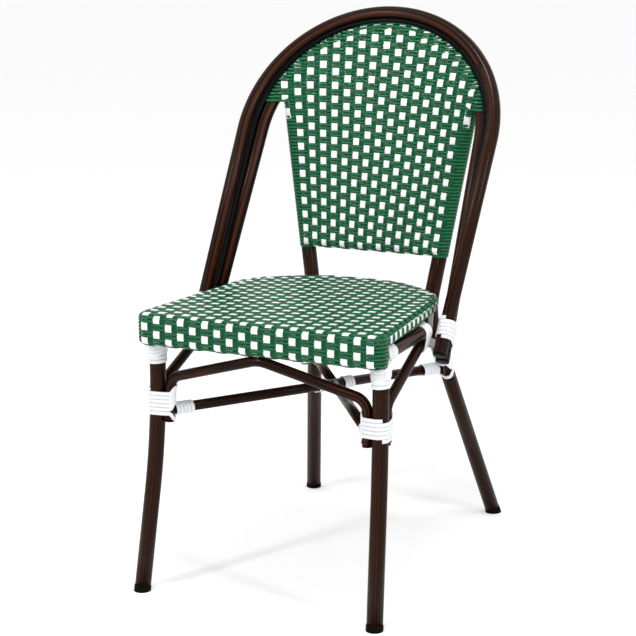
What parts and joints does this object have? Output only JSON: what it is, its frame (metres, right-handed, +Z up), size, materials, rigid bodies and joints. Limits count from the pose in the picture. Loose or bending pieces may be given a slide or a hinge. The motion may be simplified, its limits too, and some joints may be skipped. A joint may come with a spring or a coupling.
{
  "type": "rattan bistro chair",
  "caption": "Armless stacking bistro chair with a bent tube frame, an arched double-tube back and a woven strand seat and back panel, bound with flat strand at the joints.",
  "frame": {"origin": "on the floor, under the middle of the chair's bounding box", "axes": "+X to the right as seen from the front, +Y from the front to the back, +Z up"},
  "size_m": [0.4598, 0.6179, 0.8799],
  "materials": {
    "frame_tube": "dark brown wood-grain lacquer on metal tube, glossy",
    "weave": "woven flat and round plastic strand, deep green with white, satin",
    "strand": "white flat plastic strand, satin",
    "plug": "black moulded plastic, satin",
    "glide": "black moulded foot glide, matt"
  },
  "bodies": {
    "root": {"front_leg_left": "frame_tube", "front_leg_right": "frame_tube", "rear_leg_left": "frame_tube", "rear_leg_right": "frame_tube", "front_glide_left": "glide", "front_glide_right": "glide", "rear_glide_left": "glide", "rear_glide_right": "glide", "arch_front_tube": "frame_tube", "arch_rear_tube": "frame_tube", "arch_filler_strip": "plug", "arch_front_plug_left": "plug", "arch_front_plug_right": "plug", "arch_rear_plug_left": "plug", "arch_rear_plug_right": "plug", "seat_rail": "frame_tube", "seat_ring": "frame_tube", "seat_weave": "weave", "back_bottom_bar": "frame_tube", "back_weave": "weave", "front_brace": "frame_tube", "front_brace_plug_a": "plug", "front_brace_plug_b": "plug", "side_brace_left": "frame_tube", "side_brace_left_plug_a": "plug", "side_brace_left_plug_b": "plug", "side_brace_right": "frame_tube", "side_brace_right_plug_a": "plug", "side_brace_right_plug_b": "plug", "cross_stretcher_long": "frame_tube", "cross_stretcher_half_front": "frame_tube", "cross_stretcher_half_rear": "frame_tube", "binding_front_leg_left": "strand", "binding_front_leg_right": "strand", "binding_rear_leg_left": "strand", "binding_rear_leg_right": "strand", "binding_leg_top_left": "strand", "binding_leg_top_right": "strand", "binding_rail_front_left": "strand", "binding_rail_front_right": "strand", "binding_rail_rear_left": "strand", "binding_rail_rear_right": "strand", "binding_arch_left": "strand", "binding_arch_right": "strand", "binding_stretcher_front_left": "strand", "binding_stretcher_front_right": "strand", "binding_stretcher_rear_left": "strand", "binding_stretcher_rear_right": "strand", "binding_crossing_front": "strand", "binding_crossing_rear": "strand"}
  },
  "joints": []
}
